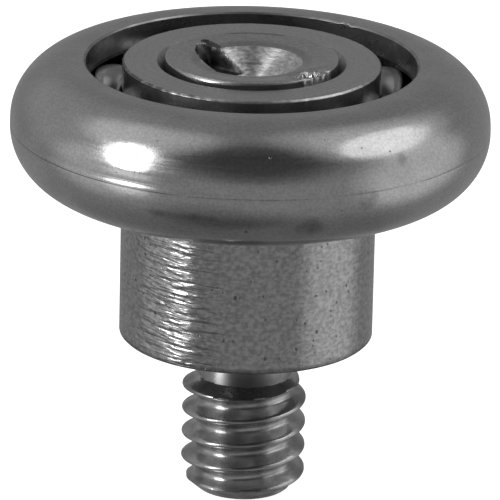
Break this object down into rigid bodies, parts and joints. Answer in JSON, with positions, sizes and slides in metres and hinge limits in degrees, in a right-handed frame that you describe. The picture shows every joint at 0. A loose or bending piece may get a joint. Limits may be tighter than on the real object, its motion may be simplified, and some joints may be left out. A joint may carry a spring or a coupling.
{
  "type": "cam follower",
  "caption": "Stud-mounted ball roller with a crowned outer ring, a plain turned shoulder and a short coarse thread.",
  "frame": {"origin": "on the stud's axis, in the face of the shoulder that seats on the machine", "axes": "+Z along the stud's axis, from the seating face towards the roller; the thread hangs along -Z; +X and +Y are square to it, with the screwdriver slot 39 degrees clockwise of +X seen from the roller's side"},
  "size_m": [0.0238, 0.0238, 0.0226],
  "materials": {
    "stud_steel": "turned bare steel with fine circular tool marks",
    "race_steel": "flat matt tumbled steel with bright broken edges",
    "ring_steel": "tumbled satin crown with pits and light handling scratches",
    "ball_steel": "polished"
  },
  "bodies": {
    "root": {"stud": "stud_steel", "inner_race_upper": "race_steel", "inner_race_lower": "race_steel"},
    "outer_ring": {"outer_ring": "ring_steel"},
    "ball_1": {"ball_1": "ball_steel"},
    "ball_2": {"ball_2": "ball_steel"},
    "ball_3": {"ball_3": "ball_steel"},
    "ball_4": {"ball_4": "ball_steel"},
    "ball_5": {"ball_5": "ball_steel"},
    "ball_6": {"ball_6": "ball_steel"},
    "ball_7": {"ball_7": "ball_steel"},
    "ball_8": {"ball_8": "ball_steel"},
    "ball_9": {"ball_9": "ball_steel"},
    "ball_10": {"ball_10": "ball_steel"},
    "ball_11": {"ball_11": "ball_steel"}
  },
  "joints": [
    {"name": "outer_ring_spin", "type": "hinge", "parent": "root", "child": "outer_ring", "pos_m": [0, 0, 0.01098], "axis": [0, 0, 1], "continuous": true},
    {"name": "ball_1_orbit", "type": "hinge", "parent": "root", "child": "ball_1", "pos_m": [0, 0, 0.01098], "axis": [0, 0, 1], "continuous": true},
    {"name": "ball_2_orbit", "type": "hinge", "parent": "root", "child": "ball_2", "pos_m": [0, 0, 0.01098], "axis": [0, 0, 1], "continuous": true},
    {"name": "ball_3_orbit", "type": "hinge", "parent": "root", "child": "ball_3", "pos_m": [0, 0, 0.01098], "axis": [0, 0, 1], "continuous": true},
    {"name": "ball_4_orbit", "type": "hinge", "parent": "root", "child": "ball_4", "pos_m": [0, 0, 0.01098], "axis": [0, 0, 1], "continuous": true},
    {"name": "ball_5_orbit", "type": "hinge", "parent": "root", "child": "ball_5", "pos_m": [0, 0, 0.01098], "axis": [0, 0, 1], "continuous": true},
    {"name": "ball_6_orbit", "type": "hinge", "parent": "root", "child": "ball_6", "pos_m": [0, 0, 0.01098], "axis": [0, 0, 1], "continuous": true},
    {"name": "ball_7_orbit", "type": "hinge", "parent": "root", "child": "ball_7", "pos_m": [0, 0, 0.01098], "axis": [0, 0, 1], "continuous": true},
    {"name": "ball_8_orbit", "type": "hinge", "parent": "root", "child": "ball_8", "pos_m": [0, 0, 0.01098], "axis": [0, 0, 1], "continuous": true},
    {"name": "ball_9_orbit", "type": "hinge", "parent": "root", "child": "ball_9", "pos_m": [0, 0, 0.01098], "axis": [0, 0, 1], "continuous": true},
    {"name": "ball_10_orbit", "type": "hinge", "parent": "root", "child": "ball_10", "pos_m": [0, 0, 0.01098], "axis": [0, 0, 1], "continuous": true},
    {"name": "ball_11_orbit", "type": "hinge", "parent": "root", "child": "ball_11", "pos_m": [0, 0, 0.01098], "axis": [0, 0, 1], "continuous": true}
  ],
  "couplings": [
    {"joint": "ball_1_orbit", "follows": "outer_ring_spin", "ratio": 0.63592},
    {"joint": "ball_2_orbit", "follows": "outer_ring_spin", "ratio": 0.63592},
    {"joint": "ball_3_orbit", "follows": "outer_ring_spin", "ratio": 0.63592},
    {"joint": "ball_4_orbit", "follows": "outer_ring_spin", "ratio": 0.63592},
    {"joint": "ball_5_orbit", "follows": "outer_ring_spin", "ratio": 0.63592},
    {"joint": "ball_6_orbit", "follows": "outer_ring_spin", "ratio": 0.63592},
    {"joint": "ball_7_orbit", "follows": "outer_ring_spin", "ratio": 0.63592},
    {"joint": "ball_8_orbit", "follows": "outer_ring_spin", "ratio": 0.63592},
    {"joint": "ball_9_orbit", "follows": "outer_ring_spin", "ratio": 0.63592},
    {"joint": "ball_10_orbit", "follows": "outer_ring_spin", "ratio": 0.63592},
    {"joint": "ball_11_orbit", "follows": "outer_ring_spin", "ratio": 0.63592}
  ]
}
